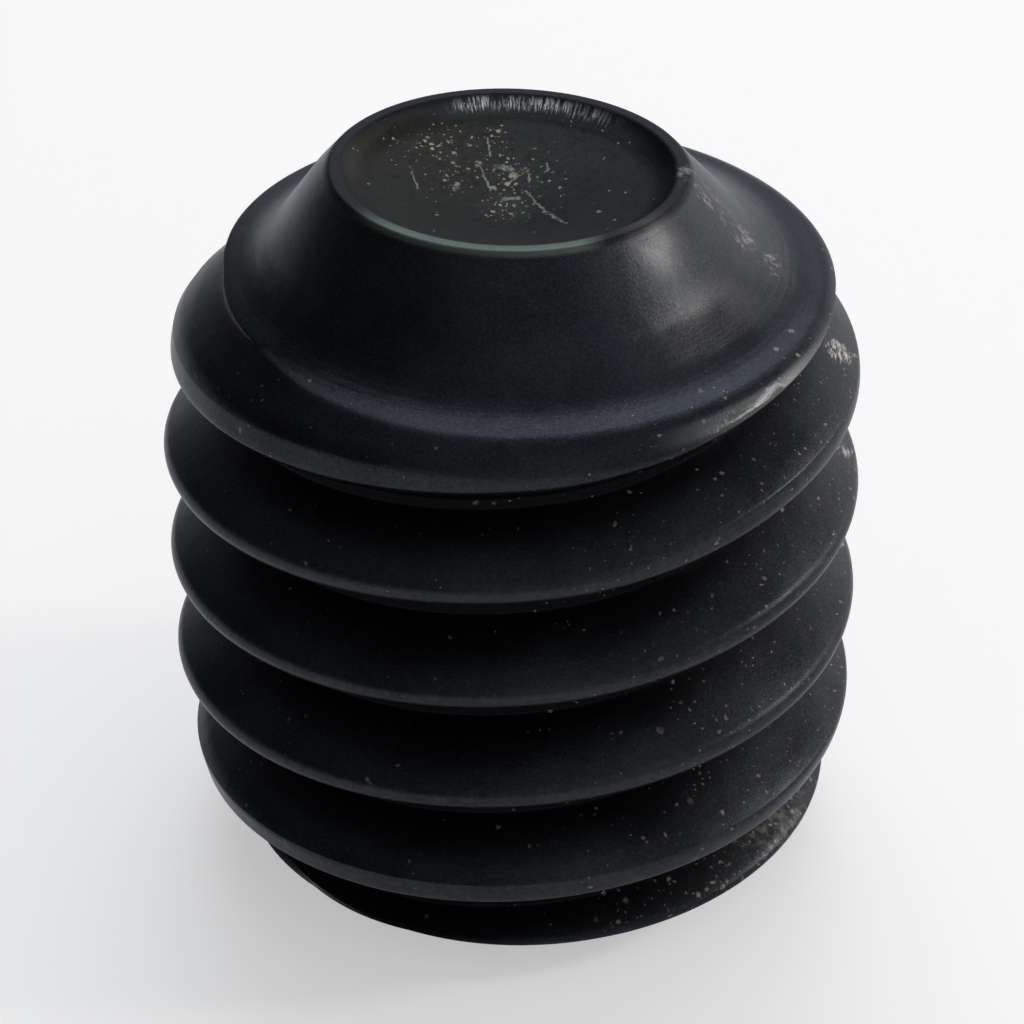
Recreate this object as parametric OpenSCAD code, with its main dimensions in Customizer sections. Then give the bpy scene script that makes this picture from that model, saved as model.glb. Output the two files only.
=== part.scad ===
// Headless set screw with a cup point and a hexagon socket, rolled and turned from one piece of steel.
// It stands on its socket end. The origin is the centre of that end face, and +Z runs up to the cup.

/* [Thread] */
// Outside diameter over the crests
major_d = 5.9; // [5.5:0.1:8]
// Distance from one crest to the next along the axis
pitch = 1; // [0.8:0.05:1.25]
// Depth of the groove from crest to root, measured along a radius
thread_depth = 0.58; // [0.4:0.02:0.62]
// Width of the flat on top of each crest
crest_flat = 0.12; // [0.06:0.01:0.16]
// Bevel that breaks both corners of the crest, measured across the flat
crest_bevel = 0.03; // [0.01:0.01:0.04]
// Width of the flat at the bottom of the groove
root_flat = 0.12; // [0.08:0.01:0.2]
// Turn of the whole thread about the axis
thread_phase = 228; // [0:1:359]

/* [Body] */
// Length from the socket end to the rim of the cup
body_l = 6.3; // [5.2:0.1:16]
// How far the outermost crests of both ends stand back from full height
crest_taper = 0.2; // [0.1:0.01:0.22]
// Length over which the crests rise to full height
crest_taper_l = 1; // [0.5:0.05:1.2]

/* [Cup point] */
// Diameter of the rim that bites into the shaft
cup_rim_d = 2.94; // [2.4:0.02:3.4]
// Slope of the point's cone below the horizontal
point_angle = 49; // [42:1:55]
// Distance that the foot of the cone stands in from the crests
point_foot_inset = 0.75; // [0.65:0.01:0.9]
// Width of the ledge round the foot of the cone
point_ledge = 0.35; // [0.2:0.01:0.4]
// Slope of the ledge below the horizontal
point_ledge_angle = 8; // [4:1:20]
// Slope of the chamfer that cuts the first crests back to the ledge
point_crest_angle = 40; // [30:1:45]
// Width of the flat land on the rim
rim_land = 0.1; // [0.05:0.01:0.16]
// Depth of the steep inner edge of the cup
cup_edge_h = 0.14; // [0.08:0.01:0.24]
// Slope of that steep inner edge below the horizontal
cup_edge_angle = 50; // [40:1:65]
// Slope of the cup's floor below the horizontal
cup_floor_angle = 14; // [8:1:24]

/* [Socket end] */
// Distance that the flat end face stands in from the crests
end_face_inset = 0.79; // [0.65:0.01:0.9]
// Slope of the end chamfer above the horizontal
end_chamfer_angle = 42; // [35:1:50]
// Width of the end chamfer, measured along a radius
end_chamfer = 0.3; // [0.2:0.01:0.4]
// Slope of the chamfer that cuts the last crests back to the end chamfer
end_crest_angle = 24; // [15:1:35]

/* [Hexagon socket] */
// Distance across the flats of the socket
key_af = 3; // [2:0.1:3.1]
// Depth of the six flats below the end face
socket_depth = 3; // [2:0.1:3.4]
// Width of the bevel round the socket's mouth, past the corners
mouth_bevel = 0.08; // [0.04:0.01:0.12]
// Slope of that bevel above the horizontal
mouth_angle = 30; // [25:1:45]
// Slope of the drilled cone at the bottom of the socket
drill_angle = 31; // [26:1:36]

/* [Hidden] */

// Steps round one turn of the thread
turn_steps = 60;
// Turns of thread that lie outside the screw, shared by both ends
spare_turns = 2;
// How far a cutting shape reaches past the surface that it cuts
over = 0.2;

major_r = major_d / 2;
root_r = major_r - thread_depth;
crest_half = crest_flat / 2;
thread_half = (pitch - root_flat) / 2;
// Radius lost over the bevel, at the slope of the flank
bevel_drop = crest_bevel * thread_depth / (thread_half - crest_half);

rim_r = cup_rim_d / 2;
taper_r = major_r - crest_taper;
point_foot_r = major_r - point_foot_inset;
point_foot_z = body_l - (point_foot_r - rim_r) * tan(point_angle);
ledge_r = point_foot_r + point_ledge;
ledge_z = point_foot_z - point_ledge * tan(point_ledge_angle);
point_taper_z = ledge_z - (taper_r - ledge_r) * tan(point_crest_angle);
cup_edge_r = rim_r - rim_land;
cup_floor_r = cup_edge_r - cup_edge_h / tan(cup_edge_angle);
cup_depth = cup_edge_h + cup_floor_r * tan(cup_floor_angle);

end_face_r = major_r - end_face_inset;
end_foot_r = end_face_r + end_chamfer;
end_foot_z = end_chamfer * tan(end_chamfer_angle);
end_taper_z = end_foot_z + (taper_r - end_foot_r) * tan(end_crest_angle);

key_corner_r = key_af / 2 / cos(30);
mouth_r = key_corner_r + mouth_bevel;

// Outline of one thread from the root below it to the root above it, as [height, radius].
function thread_outline() = [
    [-thread_half, root_r],
    [-crest_half - crest_bevel, major_r - bevel_drop],
    [-crest_half + crest_bevel, major_r],
    [crest_half - crest_bevel, major_r],
    [crest_half + crest_bevel, major_r - bevel_drop],
    [thread_half, root_r]
];

// Point p of the outline, carried along the helix to one step.
function on_helix(step, p) =
    let (turn = step / turn_steps, angle = 360 * turn + thread_phase)
    [p[1] * cos(angle), p[1] * sin(angle), p[0] + pitch * (turn - 1)];

// Two triangles that fill a four-sided face, its corners given clockwise from outside.
function two_triangles(a, b, c, d) = [[a, b, c], [a, c, d]];

// Triangles from one point to each edge of a closed loop of points.
function fan(loop, centre) = [
    for (k = [0:len(loop) - 1]) [loop[k], loop[(k + 1) % len(loop)], centre]
];

// Threaded rod that reaches past both ends of the screw. The outline is swept along the helix, and
// the last edge of each turn is the first edge of the next.
module threaded_rod() {
    outline = thread_outline();
    sides = len(outline);
    steps = (ceil(body_l / pitch) + spare_turns) * turn_steps;
    swept = [for (step = [0:steps]) for (p = outline) on_helix(step, p)];
    last_edge = [for (step = [steps + 1:steps + turn_steps]) on_helix(step, outline[0])];
    bottom = len(swept) + len(last_edge);
    top = bottom + 1;
    centres = [[0, 0, -pitch], [0, 0, pitch * steps / turn_steps]];

    // Place in the list of a point of the outline at a step. The one past the last lies a turn higher.
    function at(step, j) =
        j == sides ? at(step + turn_steps, 0)
        : step <= steps ? step * sides + j
        : len(swept) + step - steps - 1;

    flanks = [
        for (step = [0:steps - 1])
            for (j = [0:sides - 1])
                each two_triangles(at(step, j), at(step, j + 1), at(step + 1, j + 1), at(step + 1, j))
    ];
    bottom_loop = concat(
        [for (step = [0:turn_steps]) at(step, 0)],
        [for (j = [sides - 1:-1:1]) at(0, j)]
    );
    top_loop = concat(
        [for (j = [0:sides - 1]) at(steps, j)],
        [for (step = [turn_steps:-1:1]) at(steps + step, 0)]
    );
    polyhedron(
        points = concat(swept, last_edge, centres),
        faces = concat(flanks, fan(bottom_loop, bottom), fan(top_loop, top))
    );
}

// Turned outline. Each end has its chamfer or cone, a chamfer that cuts the nearest crests, and a
// taper that holds back the crests behind it.
module blank() {
    outer_r = major_r + over;
    rotate_extrude($fn = 96)
        polygon([
            [0, 0],
            [end_face_r, 0],
            [end_foot_r, end_foot_z],
            [taper_r, end_taper_z],
            [major_r, end_taper_z + crest_taper_l],
            [outer_r, end_taper_z + crest_taper_l + over],
            [outer_r, point_taper_z - crest_taper_l - over],
            [major_r, point_taper_z - crest_taper_l],
            [taper_r, point_taper_z],
            [ledge_r, ledge_z],
            [point_foot_r, point_foot_z],
            [rim_r, body_l],
            [0, body_l]
        ]);
}

// Hollow of the cup: a steep edge inside the rim, then a shallow cone.
module cup() {
    rotate_extrude($fn = 96)
        polygon([
            [0, body_l - cup_depth],
            [cup_floor_r, body_l - cup_edge_h],
            [cup_edge_r, body_l],
            [cup_edge_r, body_l + over],
            [0, body_l + over]
        ]);
}

// Hexagon socket: six flats, a drilled cone at the bottom and a bevelled mouth.
module socket() {
    translate([0, 0, -over])
        cylinder(h = socket_depth + over, r = key_corner_r, $fn = 6);
    translate([0, 0, socket_depth])
        cylinder(h = key_af / 2 * tan(drill_angle), r1 = key_af / 2, r2 = 0, $fn = 96);
    translate([0, 0, -over])
        cylinder(
            h = mouth_r * tan(mouth_angle) + over,
            r1 = mouth_r + over / tan(mouth_angle),
            r2 = 0,
            $fn = 96
        );
}

module set_screw() {
    color("#26262a")
        difference() {
            intersection() {
                threaded_rod();
                blank();
            }
            cup();
            socket();
        }
}

set_screw();
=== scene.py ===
# Cup point set screw, black oxide on alloy steel, standing on its socket end on a white table.
import math

import bpy
from mathutils import Matrix, Vector


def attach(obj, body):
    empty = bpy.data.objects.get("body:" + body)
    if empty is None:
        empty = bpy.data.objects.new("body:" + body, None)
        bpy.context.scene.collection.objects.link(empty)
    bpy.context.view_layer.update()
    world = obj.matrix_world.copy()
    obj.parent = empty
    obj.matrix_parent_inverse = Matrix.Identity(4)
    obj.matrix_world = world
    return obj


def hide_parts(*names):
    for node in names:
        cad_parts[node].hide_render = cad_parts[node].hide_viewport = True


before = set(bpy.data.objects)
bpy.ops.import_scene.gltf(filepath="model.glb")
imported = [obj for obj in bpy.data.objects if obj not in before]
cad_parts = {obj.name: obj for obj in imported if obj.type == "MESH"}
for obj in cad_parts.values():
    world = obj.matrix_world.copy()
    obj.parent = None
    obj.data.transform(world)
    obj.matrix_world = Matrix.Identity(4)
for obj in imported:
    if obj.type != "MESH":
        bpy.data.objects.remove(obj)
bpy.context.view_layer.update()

MM = 0.001

# Camera: the photograph's view, in millimetres and degrees.
AIM = Vector((-0.009, 0.0, 2.991)) * MM
DISTANCE = 31.39 * MM
ELEVATION = math.radians(32.99)
ROLL = math.radians(-0.718)
FOCAL_IN_FRAME_WIDTHS = 3638.3 / 1024
SENSOR = 36.0


def place_camera():
    """The camera stands in front of the screw and looks down on the cup, turned slightly about its axis."""
    eye = AIM + DISTANCE * Vector((0, -math.cos(ELEVATION), math.sin(ELEVATION)))
    look = (AIM - eye).normalized()
    right = Vector((1, 0, 0))
    up = right.cross(look)
    turned_right = right * math.cos(ROLL) + up * math.sin(ROLL)
    turned_up = up * math.cos(ROLL) - right * math.sin(ROLL)
    lens = bpy.data.cameras.new("camera")
    lens.sensor_width = SENSOR
    lens.lens = FOCAL_IN_FRAME_WIDTHS * SENSOR
    lens.clip_start = 0.001
    lens.clip_end = 10
    camera = bpy.data.objects.new("camera", lens)
    bpy.context.scene.collection.objects.link(camera)
    axes = Matrix((turned_right, turned_up, -look)).transposed()
    camera.matrix_world = Matrix.Translation(eye) @ axes.to_4x4()
    bpy.context.scene.camera = camera


place_camera()

# Sizes of the screw in millimetres, as in its CAD. Only the crest's flat is 0.01 wider here.
PITCH = 1.0
CREST_R = 2.95
ROOT_R = 2.37
CREST_FLAT = 0.13
ROOT_FLAT = 0.12
BODY_L = 6.3
PHASE = math.radians(228)
RIM_R = 1.47
POINT_SLOPE = math.tan(math.radians(49))
POINT_FOOT_R = 2.2
LEDGE = 0.35
LEDGE_SLOPE = math.tan(math.radians(8))
POINT_CREST_SLOPE = math.tan(math.radians(40))
END_FACE_R = 2.16
END_SLOPE = math.tan(math.radians(42))
END_CHAMFER = 0.3
END_CREST_SLOPE = math.tan(math.radians(24))
TAPER_R = 2.75
TAPER_L = 1.0
CUP_EDGE_R = 1.37
CUP_EDGE_H = 0.14
CUP_FLOOR_R = CUP_EDGE_R - CUP_EDGE_H / math.tan(math.radians(50))
CUP_SLOPE = math.tan(math.radians(14))
KEY_AF = 3.0
KEY_CORNER_R = KEY_AF / 2 / math.cos(math.radians(30))
SOCKET_DEPTH = 3.0
MOUTH_BEVEL = 0.08
MOUTH_R = KEY_CORNER_R + MOUTH_BEVEL
MOUTH_SLOPE = math.tan(math.radians(30))
DRILL_SLOPE = math.tan(math.radians(31))

# Radii of the arcs and bevels that soften the CAD's sharp corners.
ROOT_ROUND = 0.1
CREST_ROUND = 0.062
TAPER_ROUND = 0.25
LEDGE_ROUND = 0.25
POINT_FOOT_ROUND = 0.6
END_FOOT_ROUND = 0.15

# Small faults of the real one. Its socket end is turned off the axis and narrower at the right. Its brim
# isn't level and stands out at the right and front. Its rim leans, and its thread climbs faster at the
# right towards the point.
END_OFFSET = 0.03
END_IN_RIGHT = 0.06
BRIM_LEAN = 0.022
BRIM_OUT_RIGHT = 0.08
BRIM_OUT_FRONT = 0.06
RIM_RISE = 0.045
RIM_LEAN_X = -0.028
RIM_LEAN_Y = -0.017
LEAD_RISE = 0.25
LEAD_RISE_FROM_X = 0.4
LEAD_RISE_FROM_Z = 1.6

# The thread is cut off level where its grooves have run out, and the rest of each end is turned.
POINT_CUT = 5.75
END_CUT = 0.04
# Radius of the last ring before a turned face closes on the axis.
LAST_RING_R = 0.05

STEPS_ROUND = 180
TURNS = 9
# Degrees to a step along a rounded corner.
ARC_STEP = 7


def bare():
    """Back to object mode with nothing selected."""
    if bpy.context.mode != "OBJECT":
        bpy.ops.object.mode_set(mode="OBJECT")
    bpy.ops.object.select_all(action="DESELECT")


def pick(piece):
    """Selects this piece alone, in object mode."""
    bare()
    piece.select_set(True)
    bpy.context.view_layer.objects.active = piece


def select_verts(test):
    """In edit mode, selects the vertices whose place passes the test."""
    bpy.ops.mesh.select_mode(type="VERT")
    bpy.ops.mesh.select_all(action="DESELECT")
    bpy.ops.object.mode_set(mode="OBJECT")
    for v in bpy.context.object.data.vertices:
        v.select = test(v.co / MM)
    bpy.ops.object.mode_set(mode="EDIT")


def wire(name, points):
    """A line of edges through [radius, height] points, extruded from one vertex."""
    bare()
    r, z = points[0]
    bpy.ops.mesh.primitive_plane_add(size=0.1 * MM, location=(r * MM, 0, z * MM))
    piece = bpy.context.object
    piece.name = piece.data.name = name
    bpy.ops.object.mode_set(mode="EDIT")
    bpy.ops.mesh.merge(type="CENTER")
    for (r0, z0), (r1, z1) in zip(points, points[1:]):
        bpy.ops.mesh.extrude_vertices_move(
            TRANSFORM_OT_translate={"value": ((r1 - r0) * MM, 0, (z1 - z0) * MM)}
        )
    bpy.ops.object.mode_set(mode="OBJECT")
    bpy.ops.object.transform_apply(location=True, rotation=True, scale=True)
    return piece


def round_corners(test, size, segments):
    """Rounds the corners of a wire that pass the test."""
    bpy.ops.object.mode_set(mode="EDIT")
    select_verts(test)
    bpy.ops.mesh.bevel(offset=size * MM, segments=segments, profile=0.5, affect="VERTICES")
    bpy.ops.object.mode_set(mode="OBJECT")


def soft_min(a, b, width):
    """The smaller of a and b, with the corner between them rounded over that width."""
    h = max(width - abs(a - b), 0) / width
    return min(a, b) - h * h * width / 4


def smooth(a, b, x):
    """0 up to a, 1 from b on, and a smooth rise between them."""
    t = min(max((x - a) / (b - a), 0), 1)
    return t * t * (3 - 2 * t)


def fillet(corners):
    """Points [radius, height] along corners [radius, height, rounding], each corner rounded by an arc."""
    points = []
    for k, (r, z, size) in enumerate(corners):
        here = Vector((r, z))
        if size == 0 or k == 0 or k == len(corners) - 1:
            points.append(here)
            continue
        to_last = (Vector(corners[k - 1][:2]) - here).normalized()
        to_next = (Vector(corners[k + 1][:2]) - here).normalized()
        turn = math.pi - to_last.angle(to_next)
        reach = size * math.tan(turn / 2)
        middle = here + (to_last + to_next).normalized() * size / math.cos(turn / 2)
        start = here + to_last * reach - middle
        end = here + to_next * reach - middle
        steps = max(2, round(math.degrees(turn) / ARC_STEP))
        for i in range(steps + 1):
            t = i / steps
            spoke = start * math.sin((1 - t) * turn) + end * math.sin(t * turn)
            points.append(middle + spoke / math.sin(turn))
    return points


def blank_outline():
    """Points [radius, height] of the turned blank, from the end face up to the rim."""
    end_foot_r = END_FACE_R + END_CHAMFER
    end_foot_z = END_CHAMFER * END_SLOPE
    end_taper_z = end_foot_z + (TAPER_R - end_foot_r) * END_CREST_SLOPE
    foot_z = BODY_L - (POINT_FOOT_R - RIM_R) * POINT_SLOPE
    ledge_r = POINT_FOOT_R + LEDGE
    ledge_z = foot_z - LEDGE * LEDGE_SLOPE
    point_taper_z = ledge_z - (TAPER_R - ledge_r) * POINT_CREST_SLOPE
    clear_r = CREST_R + 0.1
    return fillet([
        (END_FACE_R, 0, 0),
        (end_foot_r, end_foot_z, END_FOOT_ROUND),
        (TAPER_R, end_taper_z, TAPER_ROUND),
        (CREST_R, end_taper_z + TAPER_L, 0),
        (clear_r, end_taper_z + TAPER_L + 0.3, 0),
        (clear_r, point_taper_z - TAPER_L - 0.3, 0),
        (CREST_R, point_taper_z - TAPER_L, 0),
        (TAPER_R, point_taper_z, TAPER_ROUND),
        (ledge_r, ledge_z, LEDGE_ROUND),
        (POINT_FOOT_R, foot_z, POINT_FOOT_ROUND),
        (RIM_R, BODY_L, 0),
    ])


BLANK = blank_outline()


def blank_radius(z):
    """Radius of the turned blank at a height."""
    for (r0, z0), (r1, z1) in zip(BLANK, BLANK[1:]):
        if z <= z1:
            return r0 + (r1 - r0) * (z - z0) / (z1 - z0)
    return BLANK[-1][0]


def hold_back(p):
    """A point of the thread, held back to the blank, which runs a little out of true at both ends."""
    r = math.hypot(p.x, p.y)
    brim = smooth(4.2, 4.9, p.z) * (1 - smooth(5.5, POINT_CUT, p.z))
    low = 1 - smooth(0.6, 1.5, p.z)
    right = max(p.x / r, 0)
    front = -p.y / r
    z = min(max(p.z - BRIM_LEAN * brim * p.y, -0.2), BODY_L)
    blank = blank_radius(z) + brim * (BRIM_OUT_RIGHT * right + BRIM_OUT_FRONT * front)
    blank -= END_IN_RIGHT * low * right
    rounding = 0.06 + 0.07 * brim * (1 - 0.7 * smooth(0.6, 2.2, p.x)) + 0.03 * low
    held = soft_min(r, blank, rounding)
    off = END_OFFSET * (1 - smooth(0.8, 1.6, p.z))
    return Vector((p.x * held / r + off, p.y * held / r, p.z))


def rolled_thread():
    """One thread's outline swept up the helix, then held back to the blank at both ends."""
    half_root = (PITCH - ROOT_FLAT) / 2
    half_crest = CREST_FLAT / 2
    outline = [
        (ROOT_R, -PITCH / 2),
        (ROOT_R, -half_root),
        (CREST_R, -half_crest),
        (CREST_R, half_crest),
        (ROOT_R, half_root),
        (ROOT_R, PITCH / 2),
    ]
    screw = wire("black_oxide_set_screw", outline)
    round_corners(lambda p: abs(abs(p.z) - half_root) < 0.001, ROOT_ROUND, 4)
    round_corners(lambda p: abs(abs(p.z) - half_crest) < 0.001, CREST_ROUND, 5)
    bpy.ops.object.mode_set(mode="EDIT")
    bpy.ops.mesh.select_all(action="SELECT")
    bpy.ops.mesh.subdivide(number_cuts=2)
    bpy.ops.transform.translate(value=(0, 0, -PITCH * MM))
    bpy.ops.transform.rotate(value=-PHASE, orient_axis="Z", center_override=(0, 0, 0))
    bpy.ops.object.mode_set(mode="OBJECT")
    sweep = screw.modifiers.new("sweep", "SCREW")
    sweep.axis = "Z"
    sweep.angle = 2 * math.pi
    sweep.screw_offset = PITCH * MM
    sweep.iterations = TURNS
    sweep.steps = sweep.render_steps = STEPS_ROUND
    sweep.use_merge_vertices = True
    sweep.merge_threshold = 1e-7
    bpy.ops.object.modifier_apply(modifier="sweep")
    bpy.ops.object.mode_set(mode="EDIT")
    bpy.ops.mesh.select_all(action="SELECT")
    bpy.ops.mesh.remove_doubles(threshold=2e-6)
    bpy.ops.object.mode_set(mode="OBJECT")
    for v in screw.data.vertices:
        to_right = smooth(LEAD_RISE_FROM_X, CREST_R, v.co.x / MM)
        v.co.z += LEAD_RISE * MM * to_right * smooth(LEAD_RISE_FROM_Z, BODY_L, v.co.z / MM)
    # Cuts along the blank's corners give both ends a clean edge to be held back to.
    bpy.ops.object.mode_set(mode="EDIT")
    bpy.ops.mesh.select_mode(type="EDGE")
    for r, z in BLANK:
        if END_CUT < z < 1 or 4.9 < z < 5.7:
            bpy.ops.mesh.select_all(action="SELECT")
            bpy.ops.mesh.bisect(
                plane_co=(0, 0, z * MM),
                plane_no=(0, -BRIM_LEAN if z > 1 else 0, 1),
                threshold=1e-9,
            )
    bpy.ops.object.mode_set(mode="OBJECT")
    for v in screw.data.vertices:
        v.co = hold_back(v.co / MM) * MM
    return screw


def cut_level(height, upper):
    """Cuts the open thread off level and leaves the cut's edge selected."""
    bpy.ops.mesh.select_mode(type="EDGE")
    bpy.ops.mesh.select_all(action="SELECT")
    bpy.ops.mesh.bisect(
        plane_co=(0, 0, height * MM),
        plane_no=(0, 0, 1),
        clear_outer=upper,
        clear_inner=not upper,
        threshold=1e-9,
    )


def turned_rings(points, centre_x=0):
    """Carries the selected loop of edges through [radius, height] points, and closes it at the last.

    The loop lies on the first point.
    """
    for (r0, z0), (r1, z1) in zip(points, points[1:]):
        bpy.ops.mesh.extrude_edges_move(TRANSFORM_OT_translate={"value": (0, 0, (z1 - z0) * MM)})
        bpy.ops.transform.resize(value=(r1 / r0, r1 / r0, 1), center_override=(centre_x * MM, 0, 0))
    bpy.ops.mesh.merge(type="CENTER")


def close_ends(screw):
    """Turns the point's cone, the rim and the cup, and the end face with the bevel for the key."""
    floor_z = BODY_L - CUP_EDGE_H
    pick(screw)
    bpy.ops.object.mode_set(mode="EDIT")
    cut_level(POINT_CUT, True)
    turned_rings(fillet([
        (blank_radius(POINT_CUT), POINT_CUT, 0),
        *((RIM_R + drop / POINT_SLOPE, BODY_L - drop, 0) for drop in (0.4, 0.2)),
        (RIM_R, BODY_L, 0.05),
        (CUP_EDGE_R, BODY_L, 0.06),
        (CUP_FLOOR_R, floor_z, 0.4),
        *((r, floor_z - (CUP_FLOOR_R - r) * CUP_SLOPE, 0) for r in (0.9, 0.6, 0.3, LAST_RING_R)),
    ]))
    cut_level(END_CUT, False)
    turned_rings(fillet([
        (blank_radius(END_CUT), END_CUT, 0),
        (END_FACE_R, 0, 0.04),
        (MOUTH_R, 0, 0.03),
        *((r, (MOUTH_R - r) * MOUTH_SLOPE, 0) for r in (1.2, 0.6, LAST_RING_R)),
    ]), END_OFFSET)
    bpy.ops.mesh.select_all(action="SELECT")
    bpy.ops.mesh.remove_doubles(threshold=1.5e-6)
    bpy.ops.mesh.normals_make_consistent(inside=False)
    bpy.ops.object.mode_set(mode="OBJECT")
    for v in screw.data.vertices:
        lean = RIM_RISE * MM + RIM_LEAN_X * v.co.x + RIM_LEAN_Y * v.co.y
        v.co.z += lean * smooth(5.7, 6.15, v.co.z / MM)


def cut_away(piece, tool):
    """Takes the tool's shape out of the piece and deletes the tool."""
    cut = piece.modifiers.new("cut", "BOOLEAN")
    cut.operation = "DIFFERENCE"
    cut.solver = "EXACT"
    cut.object = tool
    pick(piece)
    bpy.ops.object.modifier_apply(modifier="cut")
    bpy.data.objects.remove(tool)


def broach_socket(screw):
    """Six flats as deep as the key goes in, then the cone of the drill that went before the broach."""
    key_over = 0.2
    drill_over = 0.1
    drill_h = KEY_AF / 2 * DRILL_SLOPE + drill_over
    bare()
    bpy.ops.mesh.primitive_cylinder_add(
        vertices=6,
        radius=KEY_CORNER_R * MM,
        depth=(SOCKET_DEPTH + key_over) * MM,
        location=(0, 0, (SOCKET_DEPTH - key_over) / 2 * MM),
        rotation=(0, 0, math.radians(30)),
    )
    key = bpy.context.object
    bpy.ops.object.transform_apply(location=True, rotation=True, scale=True)
    cut_away(screw, key)
    bare()
    bpy.ops.mesh.primitive_cone_add(
        vertices=96,
        radius1=(KEY_AF / 2 + drill_over / DRILL_SLOPE) * MM,
        radius2=0,
        depth=drill_h * MM,
        location=(0, 0, (SOCKET_DEPTH - drill_over + drill_h / 2) * MM),
    )
    drill = bpy.context.object
    bpy.ops.object.transform_apply(location=True, rotation=True, scale=True)
    cut_away(screw, drill)


screw = rolled_thread()
close_ends(screw)
broach_socket(screw)
pick(screw)
bpy.ops.object.shade_smooth_by_angle(angle=math.radians(50))


def linear(hex_colour):
    """An sRGB hex colour as linear red, green, blue and alpha."""
    parts = [int(hex_colour[i:i + 2], 16) / 255 for i in (1, 3, 5)]
    return [c / 12.92 if c <= 0.04045 else ((c + 0.055) / 1.055) ** 2.4 for c in parts] + [1.0]


def add(tree, kind, settings=None, **links):
    """Adds a node, gives it its settings and links its inputs. in_0 stands for input number 0."""
    made = tree.nodes.new(kind)
    for key, value in (settings or {}).items():
        if isinstance(key, int) or key in made.inputs:
            made.inputs[key].default_value = value
        else:
            setattr(made, key, value)
    for key, source in links.items():
        socket = int(key[3:]) if key.startswith("in_") else key.replace("_", " ")
        tree.links.new(source, made.inputs[socket])
    return made


def blank_material(name):
    """A material with an empty node tree."""
    material = bpy.data.materials.new(name)
    material.use_nodes = True
    material.node_tree.nodes.clear()
    return material


def calc(t, operation, a, b=0.5):
    """The result of one sum on two values. Each is a number or another node's output."""
    made = add(t, "ShaderNodeMath", {"operation": operation})
    for socket, value in zip(made.inputs, (a, b)):
        if isinstance(value, bpy.types.NodeSocket):
            t.links.new(value, socket)
        else:
            socket.default_value = value
    return made.outputs[0]


def chain(t, operation, values):
    """One operation carried through several values."""
    result = values[0]
    for value in values[1:]:
        result = calc(t, operation, result, value)
    return result


def total(t, *values):
    """The sum of several values."""
    return chain(t, "ADD", values)


def times(t, *values):
    """The product of several values."""
    return chain(t, "MULTIPLY", values)


def most(t, *values):
    """The largest of several values."""
    return chain(t, "MAXIMUM", values)


def span(t, value, a, b, low=0.0, high=1.0):
    """Low before a, high past b, and a smooth rise between them."""
    settings = {
        "interpolation_type": "SMOOTHSTEP",
        "From Min": a,
        "From Max": b,
        "To Min": low,
        "To Max": high,
    }
    return add(t, "ShaderNodeMapRange", settings, Value=value).outputs["Result"]


def noise(t, place, scale, detail=2.0, roughness=0.5):
    """Cloudy noise, so many to the millimetre."""
    settings = {"Scale": scale, "Detail": detail, "Roughness": roughness}
    return add(t, "ShaderNodeTexNoise", settings, Vector=place).outputs["Fac"]


def blend(t, amount, a, b):
    """A colour between a and b. Each is a hex colour or another node's output."""
    made = add(t, "ShaderNodeMix", {"data_type": "RGBA"}, in_0=amount)
    for number, value in ((6, a), (7, b)):
        if isinstance(value, bpy.types.NodeSocket):
            t.links.new(value, made.inputs[number])
        else:
            made.inputs[number].default_value = linear(value)
    return made.outputs[2]


def layered(t, colour, *layers):
    """The colour with more laid over it in turn, each given as its amount and its colour."""
    for amount, layer in layers:
        colour = blend(t, amount, colour, layer)
    return colour


def scaled(t, place, factor):
    """The place times a number."""
    return add(t, "ShaderNodeVectorMath", {"operation": "SCALE", "Scale": factor}, in_0=place).outputs[0]


def flattened(t, place):
    """The place with no height."""
    return add(t, "ShaderNodeVectorMath", {"operation": "MULTIPLY", 1: (1, 1, 0)}, in_0=place).outputs[0]


def spot(t, place, centre, inner, outer):
    """1 within the inner distance of a centre, 0 beyond the outer one."""
    off = add(t, "ShaderNodeVectorMath", {"operation": "DISTANCE", 1: centre}, in_0=place)
    return span(t, off.outputs["Value"], outer, inner)


def spots(t, place, listed):
    """Several spots, each [centre, inner distance, outer distance, strength]."""
    return most(t, *(times(t, spot(t, place, *where), strength) for *where, strength in listed))


def specks(t, place, scale, density, size):
    """Round grains, one at most to each cell of a lattice. Density is the share of cells that hold one."""
    cell = add(t, "ShaderNodeTexVoronoi", {"Scale": scale, "Randomness": 1.0}, Vector=place)
    chance = add(t, "ShaderNodeSeparateColor", None, Color=cell.outputs["Color"])
    held = calc(t, "LESS_THAN", chance.outputs[0], density)
    reach = total(t, times(t, chance.outputs[1], size * 0.75), size * 0.25)
    inside = calc(t, "SUBTRACT", reach, cell.outputs["Distance"])
    return times(t, held, span(t, inside, 0.0, size * 0.5))


def mark(t, flat, start, end, width):
    """A mark from start to end, in millimetres as seen from above. Flat is the place with no height."""
    start, end = Vector((*start, 0)), Vector((*end, 0))
    run = end - start
    here = add(t, "ShaderNodeVectorMath", {"operation": "SUBTRACT", 1: start}, in_0=flat).outputs[0]
    settings = {"operation": "DOT_PRODUCT", 1: run / run.length_squared}
    along = add(t, "ShaderNodeVectorMath", settings, in_0=here).outputs["Value"]
    part = add(t, "ShaderNodeClamp", None, Value=along).outputs[0]
    nearest = add(t, "ShaderNodeVectorMath", {"operation": "SCALE", 0: run}, Scale=part).outputs[0]
    off = add(t, "ShaderNodeVectorMath", {"operation": "DISTANCE"}, in_0=here, in_1=nearest)
    return span(t, off.outputs["Value"], width, width * 0.3)


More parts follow.
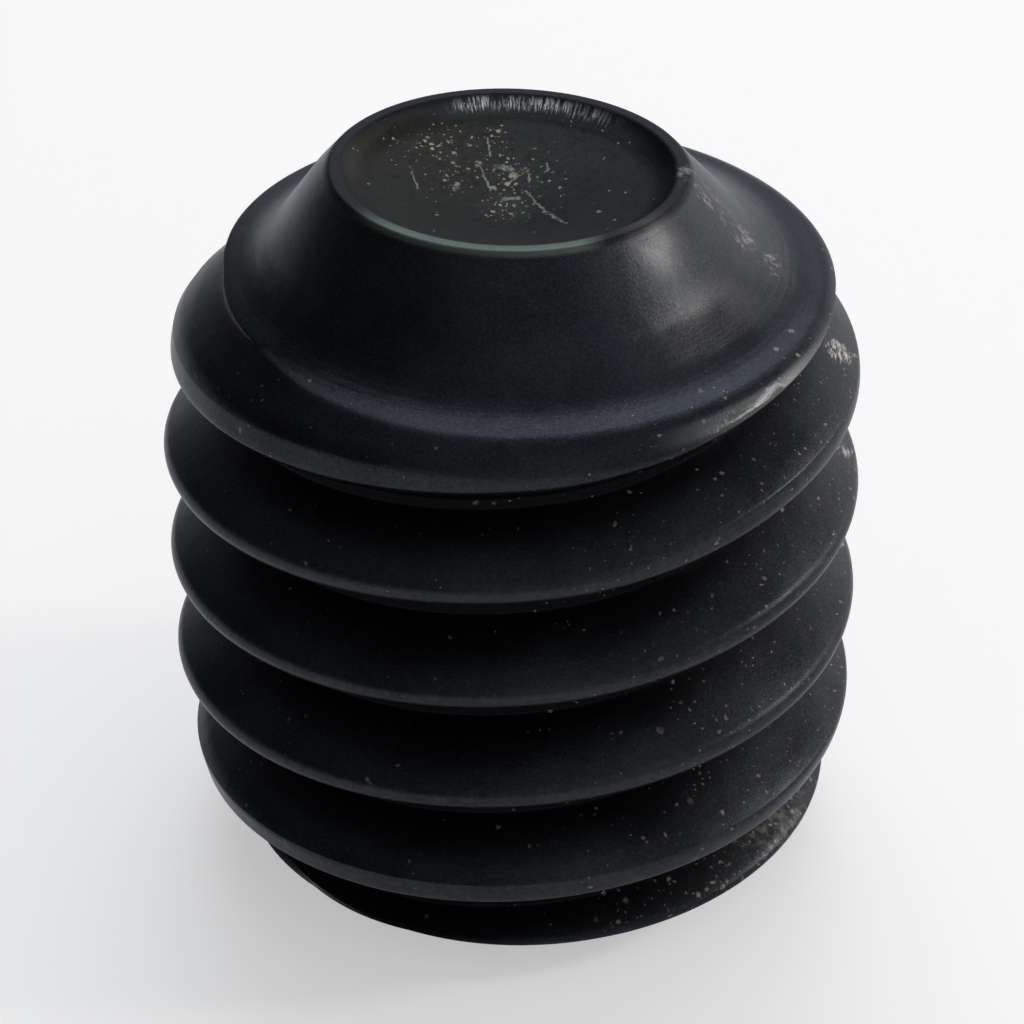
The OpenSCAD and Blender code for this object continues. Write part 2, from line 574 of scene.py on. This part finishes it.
class Places:
    """Where a point of the screw is, in millimetres, and masks: 1 in the part named, 0 outside it."""

    def __init__(self, t):
        self.mm = scaled(t, add(t, "ShaderNodeTexCoord").outputs["Object"], 1 / MM)
        self.x, self.y, self.z = add(t, "ShaderNodeSeparateXYZ", None, Vector=self.mm).outputs[:]
        self.flat = flattened(t, self.mm)
        length = add(t, "ShaderNodeVectorMath", {"operation": "LENGTH"}, in_0=self.flat)
        self.r = length.outputs["Value"]
        # Part of a turn about the axis, counted from +X, from -0.5 to 0.5.
        self.turn = calc(t, "DIVIDE", calc(t, "ARCTAN2", self.y, self.x), 2 * math.pi)

        # The place, bent a little, so that marks and grains aren't straight or round.
        wobble = add(t, "ShaderNodeTexNoise", {"Scale": 18.0, "Detail": 1.0}, Vector=self.mm)
        wobble = scaled(t, wobble.outputs["Color"], 0.05)
        bent = add(t, "ShaderNodeVectorMath", {"operation": "ADD"}, in_0=self.mm, in_1=wobble)
        self.bent = bent.outputs[0]
        self.bent_flat = flattened(t, self.bent)

        # Distance along the axis from the middle of the nearest crest, 0 to 0.5 mm. A crest's middle
        # passes +X at this height.
        crest_z = 0.367
        rise = times(
            t,
            span(t, self.x, LEAD_RISE_FROM_X, CREST_R),
            span(t, self.z, LEAD_RISE_FROM_Z, BODY_L, 0.0, LEAD_RISE),
        )
        thread = total(t, chain(t, "SUBTRACT", (self.z, rise, self.turn)), 0.5 - crest_z)
        off_crest = calc(t, "ABSOLUTE", total(t, calc(t, "FRACT", thread), -0.5))

        inside_rim = span(t, self.r, CUP_EDGE_R + 0.02, CUP_EDGE_R - 0.06)
        self.in_cup = times(t, inside_rim, span(t, self.z, 5.4, 5.5))
        self.threaded = times(t, span(t, self.z, 5.45, 5.3), span(t, self.r, 2.1, 2.25))
        self.on_crest = times(t, span(t, off_crest, 0.13, 0.06), span(t, self.r, 2.6, 2.75))
        self.in_groove = times(t, span(t, off_crest, 0.2, 0.44), self.threaded)
        self.on_point = span(t, self.z, 5.15, 5.3)
        self.on_rim = times(
            t,
            span(t, self.r, CUP_EDGE_R - 0.08, CUP_EDGE_R - 0.02),
            span(t, self.r, RIM_R + 0.05, RIM_R + 0.02),
        )

        # Patchy noise, and a spot on the cone below the rim that is made smoother and painted paler: a
        # painted highlight where a lamp shines.
        self.uneven = span(t, noise(t, self.mm, 3.0, 3.0, 0.6), 0.35, 0.6, 0.5, 1.0)
        self.highlight_spot = times(t, spot(t, self.mm, (1.13, -1.03, 6.16), 0.05, 0.4), self.uneven)


def oxide_tone_with_painted_light(t, at, cloud, grain):
    """Cloudy and grainy oxide, brown-black in the cup and paler where it's worn, with painted shade in the
    grooves and on the rim, and painted highlights and a painted reflection on the brim, the rim, the cone
    and the cup.
    """
    wear = noise(t, at.mm, 12.0, 4.0, 0.75)
    crests = times(t, at.on_crest, span(t, wear, 0.4, 0.7, 0.1, 0.6), span(t, at.z, 5.0, 4.7, 0.4, 1.0))
    brim = times(t, span(t, at.z, 5.16, 5.24), span(t, at.z, 5.5, 5.42), span(t, at.r, 2.69, 2.74))
    # Painted highlight: a paler strip along the brim's edge at the right, where the lamps shine.
    brim_right_highlight = times(t, brim, span(t, at.x, 1.0, 1.6), span(t, at.y, 0.6, 0.0), 0.7)
    # Painted reflection: the rim's land paler at the front, where it mirrors the bright light behind.
    rim_front_reflection = times(t, at.on_rim, span(t, at.y, -0.7, -1.2), span(t, at.x, 0.8, 0.5), 0.85)
    # Painted highlight: a paler patch low on the cone at the front right, where a lamp shines.
    foot_highlight = times(t, mark(t, at.flat, (1.3, -1.6), (1.85, -1.0), 0.26), at.on_point, at.uneven, 0.3)
    cup_edge = times(t, at.in_cup, span(t, at.r, 1.18, 1.28))
    # Painted sheen: the cup's edge paler at the back, where its scratches catch the light.
    cup_rear_sheen = times(t, cup_edge, span(t, at.y, 0.3, 0.9), span(t, at.x, -1.0, -0.2), 0.8)
    low_down = total(t, wear, -0.3, times(t, spot(t, at.mm, (2.3, -1.3, 0.5), 0.1, 1.0), 0.3))
    return layered(
        t,
        blend(t, span(t, cloud, 0.32, 0.68), "#25272C", "#2F3237"),
        (span(t, grain, 0.52, 0.36, 0.0, 0.35), "#0E0F11"),
        (span(t, grain, 0.54, 0.7, 0.0, 0.2), "#54565A"),
        (times(t, at.in_cup, 0.7), "#181A1A"),
        (times(t, at.in_cup, span(t, at.x, 0.9, -0.9, 0.0, 0.6)), "#27271F"),
        (times(t, at.in_cup, span(t, wear, 0.5, 0.66, 0.0, 0.5)), "#0B0C0C"),
        # Painted shade: the rim's land darkened to hold down its reflection of the light behind.
        (times(t, at.on_rim, 0.75), "#151618"),
        # Painted shade: the grooves darkened where the threads shade them.
        (times(t, at.in_groove, 0.85), "#0E0E10"),
        (crests, "#3B3D40"),
        (brim_right_highlight, "#5E6163"),
        (rim_front_reflection, "#55615B"),
        # Painted highlight on the cone below the rim.
        (times(t, at.highlight_spot, 0.6), "#4E4E4F"),
        (foot_highlight, "#4E4E4F"),
        (cup_rear_sheen, "#43474B"),
        (times(t, span(t, low_down, 0.38, 0.66), 0.6), "#5B5A56"),
    )


def scratches_and_glints(t, at):
    """Scratches down the steep edge inside the cup's rim, at the back, painted near white as their painted
    glints.
    """
    fan = add(t, "ShaderNodeCombineXYZ", None, X=times(t, at.turn, 400.0), Y=times(t, at.r, 7.0))
    lines = noise(t, fan.outputs[0], 1.0, 4.0, 0.75)
    ragged_r = total(t, at.r, times(t, lines, 0.22))
    wall = times(t, span(t, ragged_r, 1.375, 1.43), span(t, at.r, 1.37, 1.34), at.in_cup)
    wall = times(t, wall, span(t, at.y, 0.5, 0.9), span(t, at.x, -0.55, -0.25), span(t, at.x, 1.1, 0.3))
    clumps = span(t, noise(t, at.mm, 6.0, 2.0, 0.6), 0.34, 0.6, 0.45, 1.0)
    return times(t, wall, clumps, span(t, lines, 0.46, 0.58))


# Chafed places on the flanks at the right, painted pale also as painted highlights: centre, inner and outer
# distance in millimetres, strength.
CHAFE_AND_HIGHLIGHT_SPOTS = (
    ((2.74, -0.24, 4.72), 0.05, 0.3, 1.0),
    ((2.84, 0.0, 3.6), 0.04, 0.24, 0.9),
    ((2.84, 0.2, 2.5), 0.04, 0.24, 0.7),
)


def chafe_and_painted_highlight(t, at):
    """Bare, chafed metal at the right, down the cone and on the flanks, painted pale also as the painted
    highlight of the lamps there.
    """
    rough = total(t, noise(t, at.mm, 17.0, 4.0, 0.8), -0.3)
    patches = span(t, noise(t, at.mm, 4.5, 2.0, 0.5), 0.36, 0.6, 0.55, 1.0)
    down_cone = times(t, mark(t, at.bent_flat, (1.5, -0.08), (2.15, -0.28), 0.3), at.on_point, patches)
    down_cone = span(t, total(t, rough, times(t, down_cone, 0.3)), 0.38, 0.7)
    chatter = add(t, "ShaderNodeCombineXYZ", None, X=times(t, at.r, 34.0), Y=times(t, at.turn, 150.0))
    lined = total(t, noise(t, chatter.outputs[0], 1.0, 3.0, 0.7), -0.3)
    flanks = times(t, spots(t, at.bent, CHAFE_AND_HIGHLIGHT_SPOTS), 0.3)
    return most(t, times(t, down_cone, 0.6), span(t, total(t, lined, flanks), 0.4, 0.62))


# Scratches in the floor of the cup: start, end and width in millimetres, as seen from above.
CUP_SCRATCHES = (
    ((0.17, 0.33), (0.33, -0.02), 0.014),
    ((0.33, -0.02), (0.48, -0.38), 0.021),
    ((-0.22, 0.62), (-0.13, 0.33), 0.012),
    ((-0.15, 0.97), (-0.13, 0.74), 0.012),
    ((0.34, 0.65), (0.35, 0.54), 0.014),
    ((0.02, 0.43), (0.18, 0.58), 0.012),
    ((0.18, 0.58), (0.2, 0.44), 0.012),
    ((-0.08, 0.63), (0.05, 0.6), 0.04),
    ((-0.02, 0.24), (0.1, 0.25), 0.03),
    ((-0.79, 0.44), (-0.72, 0.13), 0.01),
    ((-0.4, 0.36), (-0.43, 0.25), 0.024),
)


def cup_scratches(t, at):
    """Pale scratches in the floor of the cup, broken up along their length."""
    marks = most(t, *(mark(t, at.bent_flat, *scratch) for scratch in CUP_SCRATCHES))
    broken = span(t, noise(t, at.mm, 14.0, 3.0, 0.7), 0.36, 0.62, 0.1, 0.8)
    return times(t, marks, at.in_cup, broken, 0.6)


# Heaps of dust on the floor of the cup: centre, inner and outer distance in millimetres, strength.
DUST_HEAPS = (
    ((-0.6, 0.68, 0), 0.1, 0.55, 1.0),
    ((-0.15, 0.8, 0), 0.1, 0.4, 1.1),
    ((0.05, 0.5, 0), 0.05, 0.45, 1.3),
    ((-0.38, 0.3, 0), 0.05, 0.28, 1.0),
    ((-0.04, 0.08, 0), 0.05, 0.32, 1.3),
)


def dust_grains(t, at):
    """Pale grains in heaps on the cup's floor, fewer and duller on the flanks and low at the right."""
    to_right = span(t, at.x, -0.5, 2.6)
    in_heaps = times(t, at.in_cup, total(t, times(t, spots(t, at.flat, DUST_HEAPS), 0.4), 0.03))
    on_flanks = times(t, at.threaded, total(t, times(t, to_right, 0.1), 0.02))
    low_right = times(t, span(t, at.z, 0.9, 0.4), to_right, 0.2)
    share = total(t, in_heaps, on_flanks, low_right)
    sorts = ((7.5, 0.3), (16.0, 0.45), (31.0, 0.5))
    grains = most(t, *(specks(t, at.bent, scale, share, size) for scale, size in sorts))
    dull = total(t, times(t, at.in_cup, 0.55), 0.35)
    return times(t, grains, dull, span(t, noise(t, at.mm, 7.0, 2.0, 0.6), 0.35, 0.65, 0.3, 1.0))


def fine_relief(t, at, grain):
    """Turning marks round the point, grain of the oxide, and shallow dents."""
    section = add(t, "ShaderNodeCombineXYZ", None, X=at.r, Y=at.z).outputs[0]
    rings = times(t, noise(t, section, 28.0, 2.0, 0.6), at.on_point, 0.0012)
    dents = times(t, noise(t, at.mm, 2.6, 2.0, 0.5), 0.008)
    height = total(t, rings, times(t, grain, 0.0022), dents)
    return add(t, "ShaderNodeBump", {"Strength": 1.0, "Distance": 0.001}, Height=height).outputs["Normal"]


def black_oxide_steel():
    """Near-black satin oxide. Dust, chafing and painted highlights give it its sparkle, and painted shade
    darkens the grooves.
    """
    material = blank_material("black_oxide_alloy_steel")
    t = material.node_tree
    at = Places(t)
    cloud = noise(t, at.mm, 0.9, 4.0, 0.6)
    grain = noise(t, at.mm, 42.0, 3.0, 0.75)
    marks = cup_scratches(t, at)
    dust = dust_grains(t, at)
    pale = most(t, dust, marks)
    colour = layered(
        t,
        oxide_tone_with_painted_light(t, at, cloud, grain),
        # Scratches in the cup, painted near white as their painted glints.
        (scratches_and_glints(t, at), "#F2F6F7"),
        # Chafed metal at the right, painted pale also as a painted highlight.
        (times(t, chafe_and_painted_highlight(t, at), 0.8), "#A9A8A3"),
        (marks, "#A4ADA4"),
        (dust, "#B3AD91"),
    )
    rough = total(
        t,
        span(t, cloud, 0.3, 0.7, 0.3, 0.37),
        times(t, most(t, at.in_groove, at.in_cup, at.on_rim), 0.12),
        times(t, at.highlight_spot, -0.05),
        times(t, pale, 0.4),
    )
    steel = add(
        t,
        "ShaderNodeBsdfPrincipled",
        {"Specular Tint": linear("#E6E8EC")},
        Base_Color=colour,
        Metallic=calc(t, "SUBTRACT", 1.0, pale),
        Roughness=rough,
        Normal=fine_relief(t, at, grain),
    )
    add(t, "ShaderNodeOutputMaterial", None, Surface=steel.outputs["BSDF"])
    return material


screw.data.materials.clear()
screw.data.materials.append(black_oxide_steel())
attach(screw, "root")
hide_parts("set_screw")


def white_table():
    """Plain white board. The camera and clear reflections see it near white, and the shadow on it stays."""
    material = blank_material("white_laminate")
    t = material.node_tree
    board = add(t, "ShaderNodeBsdfPrincipled", {"Base Color": linear("#C9C9C9"), "Roughness": 0.6})
    ray = add(t, "ShaderNodeLightPath").outputs
    seen = most(t, ray["Is Camera Ray"], ray["Is Glossy Ray"], ray["Is Transmission Ray"])
    glow = add(t, "ShaderNodeEmission", {"Color": linear("#FFFFFF")}, Strength=times(t, seen, 0.46))
    both = add(t, "ShaderNodeAddShader", None, in_0=board.outputs["BSDF"], in_1=glow.outputs["Emission"])
    add(t, "ShaderNodeOutputMaterial", None, Surface=both.outputs["Shader"])
    return material


bare()
bpy.ops.mesh.primitive_plane_add(size=0.8, location=(0, 0, 0))
table = bpy.context.object
table.name = "table"
table.data.materials.append(white_table())


def soft_light(name, azimuth, elevation, width, height, radiance):
    """A soft box 300 mm away that faces the screw. Its width and height are the angles it fills there."""
    reach = 300 * MM
    lamp = bpy.data.lights.new(name, "AREA")
    lamp.shape = "RECTANGLE"
    lamp.size = 2 * reach * math.tan(math.radians(width) / 2)
    lamp.size_y = 2 * reach * math.tan(math.radians(height) / 2)
    lamp.energy = radiance * math.pi * lamp.size * lamp.size_y
    lamp.color = linear("#FFF8EE")[:3]
    box = bpy.data.objects.new(name, lamp)
    bpy.context.scene.collection.objects.link(box)
    a, e = math.radians(azimuth), math.radians(elevation)
    way = Vector((math.cos(a) * math.cos(e), math.sin(a) * math.cos(e), math.sin(e)))
    box.matrix_world = Matrix.Translation(way * reach) @ way.to_track_quat("Z", "Y").to_matrix().to_4x4()


def studio_world():
    """Soft room light: brighter to the right, brightest high up behind, dim at the upper rear right."""
    world = bpy.data.worlds.new("studio")
    world.use_nodes = True
    t = world.node_tree
    t.nodes.clear()
    way = add(t, "ShaderNodeTexCoord").outputs["Generated"]
    x, y, z = add(t, "ShaderNodeSeparateXYZ", None, Vector=way).outputs[:]
    room = span(t, x, -0.9, 0.5, 0.1, 0.55)
    dim = times(t, span(t, x, 0.2, 0.6), span(t, y, -0.2, 0.25), span(t, z, 0.35, 0.7), 0.5)
    behind = times(
        t,
        span(t, y, 0.1, 0.55),
        span(t, x, -0.5, -0.05),
        span(t, x, 0.5, 0.1),
        span(t, z, 0.35, 0.7, 0.2, 2.8),
    )
    bright = total(t, times(t, room, calc(t, "SUBTRACT", 1.0, dim)), behind)
    sky = add(t, "ShaderNodeBackground", {"Color": linear("#F8FAFF")}, Strength=bright)
    add(t, "ShaderNodeOutputWorld", None, Surface=sky.outputs["Background"])
    return world


soft_light("window", 36, 17, 52, 30, 1.45)
soft_light("bright_pane", 3, 29, 9, 9, 30)
bpy.context.scene.world = studio_world()

bpy.context.scene.view_settings.view_transform = "Standard"
